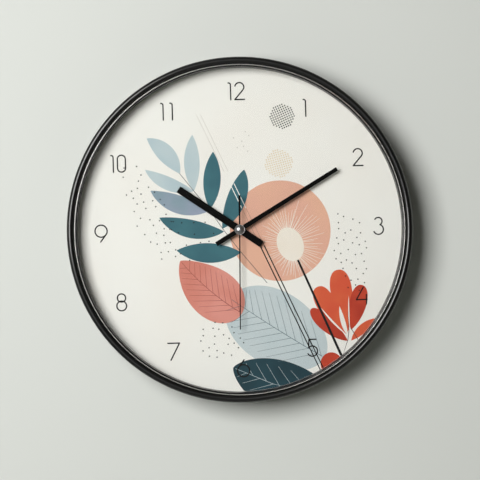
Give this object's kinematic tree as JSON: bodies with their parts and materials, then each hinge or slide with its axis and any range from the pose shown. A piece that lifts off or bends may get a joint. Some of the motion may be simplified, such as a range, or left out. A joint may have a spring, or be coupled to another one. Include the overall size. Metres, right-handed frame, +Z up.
{
  "type": "wall clock",
  "caption": "Round black-framed wall clock with a glazed botanical dial, slim black baton hands and a quartz movement, hung on a keyhole plate.",
  "frame": {"origin": "the point that hangs on the wall hook: the top of the keyhole slot, on the wall's plane", "axes": "+Z up as the clock hangs, -Y out of the wall towards the viewer, +X to the viewer's right"},
  "size_m": [0.3, 0.042, 0.3],
  "materials": {
    "frame_black": "moulded black plastic, half gloss",
    "window_glass": "clear float glass, ground edge",
    "spacer_black": "black plastic ring, half matt",
    "dial_card": "printed card, botanical print, matt",
    "back_plastic": "moulded black plastic, fine spark texture",
    "screw_zinc": "zinc-plated steel",
    "hanger_steel": "pressed steel, zinc-plated",
    "washer_rubber": "black rubber",
    "case_plastic": "black plastic, fine texture",
    "cover_plastic": "black plastic, fine texture",
    "brass_turned": "turned brass",
    "wheel_plastic": "natural acetal plastic",
    "arbor_steel": "polished steel wire",
    "magnet_grey": "sintered magnet",
    "lamination_steel": "soft magnetic sheet",
    "coil_copper": "enamelled copper wire",
    "board_green": "green solder mask",
    "chip_resin": "black resin",
    "crystal_can": "tinned can",
    "contact_steel": "nickel-plated spring steel",
    "battery_metal": "bare metal ends",
    "battery_wrap": "plain shrink sleeve",
    "knob_plastic": "white plastic",
    "hand_black": "aluminium sheet, black enamel",
    "cap_chrome": "bright plated"
  },
  "bodies": {
    "case": {"frame_ring": "frame_black", "glass_lens": "window_glass", "spacer_ring": "spacer_black", "dial_sheet": "dial_card", "back_plate": "back_plastic", "back_plate_screws": "screw_zinc", "hanger_plate": "hanger_steel", "hanger_screws": "screw_zinc", "rubber_washer": "washer_rubber", "movement_case": "case_plastic", "rear_cover": "cover_plastic", "movement_screws": "screw_zinc", "mount_screws": "screw_zinc", "bushing": "brass_turned", "middle_plate": "wheel_plastic", "stator": "lamination_steel", "coil_core": "lamination_steel", "coil_bobbin": "wheel_plastic", "coil_winding": "coil_copper", "circuit_board": "board_green", "chip_cover": "chip_resin", "quartz_crystal": "crystal_can", "board_screws": "screw_zinc", "contact_positive": "contact_steel", "contact_negative": "contact_steel"},
    "minutes": {"minute_pipe": "wheel_plastic", "minute_wheel": "wheel_plastic", "clutch_spring": "brass_turned", "minute_hand": "hand_black", "minute_collet": "brass_turned"},
    "hours": {"hour_wheel": "wheel_plastic", "hour_hand": "hand_black", "hour_collet": "brass_turned"},
    "seconds": {"seconds_arbor": "arbor_steel", "seconds_wheel": "wheel_plastic", "second_hand": "hand_black", "second_tube": "brass_turned", "centre_cap": "cap_chrome"},
    "third": {"third_wheel": "wheel_plastic"},
    "intermediate": {"intermediate_wheel": "wheel_plastic"},
    "rotor": {"rotor_pinion": "wheel_plastic", "rotor_magnet": "magnet_grey"},
    "motion": {"motion_wheel": "wheel_plastic"},
    "setting": {"setting_shaft": "wheel_plastic", "setting_knob": "knob_plastic"},
    "battery": {"battery_can": "battery_metal", "battery_sleeve": "battery_wrap"}
  },
  "joints": [
    {"name": "minute_hand_turn", "type": "hinge", "parent": "case", "child": "minutes", "pos_m": [0, 0, -0.088], "axis": [0, 1, 0], "continuous": true},
    {"name": "hour_hand_turn", "type": "hinge", "parent": "case", "child": "hours", "pos_m": [0, 0, -0.088], "axis": [0, 1, 0], "continuous": true},
    {"name": "second_hand_turn", "type": "hinge", "parent": "case", "child": "seconds", "pos_m": [0, 0, -0.088], "axis": [0, 1, 0], "continuous": true},
    {"name": "third_wheel_turn", "type": "hinge", "parent": "case", "child": "third", "pos_m": [-0.00736, 0, -0.08375], "axis": [0, 1, 0], "continuous": true},
    {"name": "intermediate_wheel_turn", "type": "hinge", "parent": "case", "child": "intermediate", "pos_m": [0.00758, 0, -0.08363], "axis": [0, 1, 0], "continuous": true},
    {"name": "rotor_turn", "type": "hinge", "parent": "case", "child": "rotor", "pos_m": [0.00862, 0, -0.07772], "axis": [0, 1, 0], "continuous": true},
    {"name": "motion_wheel_turn", "type": "hinge", "parent": "case", "child": "motion", "pos_m": [0.00811, 0, -0.09017], "axis": [0, 1, 0], "continuous": true},
    {"name": "setting_knob_turn", "type": "hinge", "parent": "case", "child": "setting", "pos_m": [0.01623, 0, -0.09235], "axis": [0, 1, 0], "continuous": true},
    {"name": "battery_slide", "type": "slide", "parent": "case", "child": "battery", "axis": [0, 1, 0], "range_m": [0, 0.03]}
  ],
  "couplings": [
    {"joint": "hour_hand_turn", "follows": "minute_hand_turn", "ratio": 0.083333},
    {"joint": "second_hand_turn", "follows": "minute_hand_turn", "ratio": 60},
    {"joint": "third_wheel_turn", "follows": "minute_hand_turn", "ratio": -8},
    {"joint": "intermediate_wheel_turn", "follows": "minute_hand_turn", "ratio": -360},
    {"joint": "rotor_turn", "follows": "minute_hand_turn", "ratio": 1800},
    {"joint": "motion_wheel_turn", "follows": "minute_hand_turn", "ratio": -0.33333},
    {"joint": "setting_knob_turn", "follows": "minute_hand_turn", "ratio": 1}
  ]
}
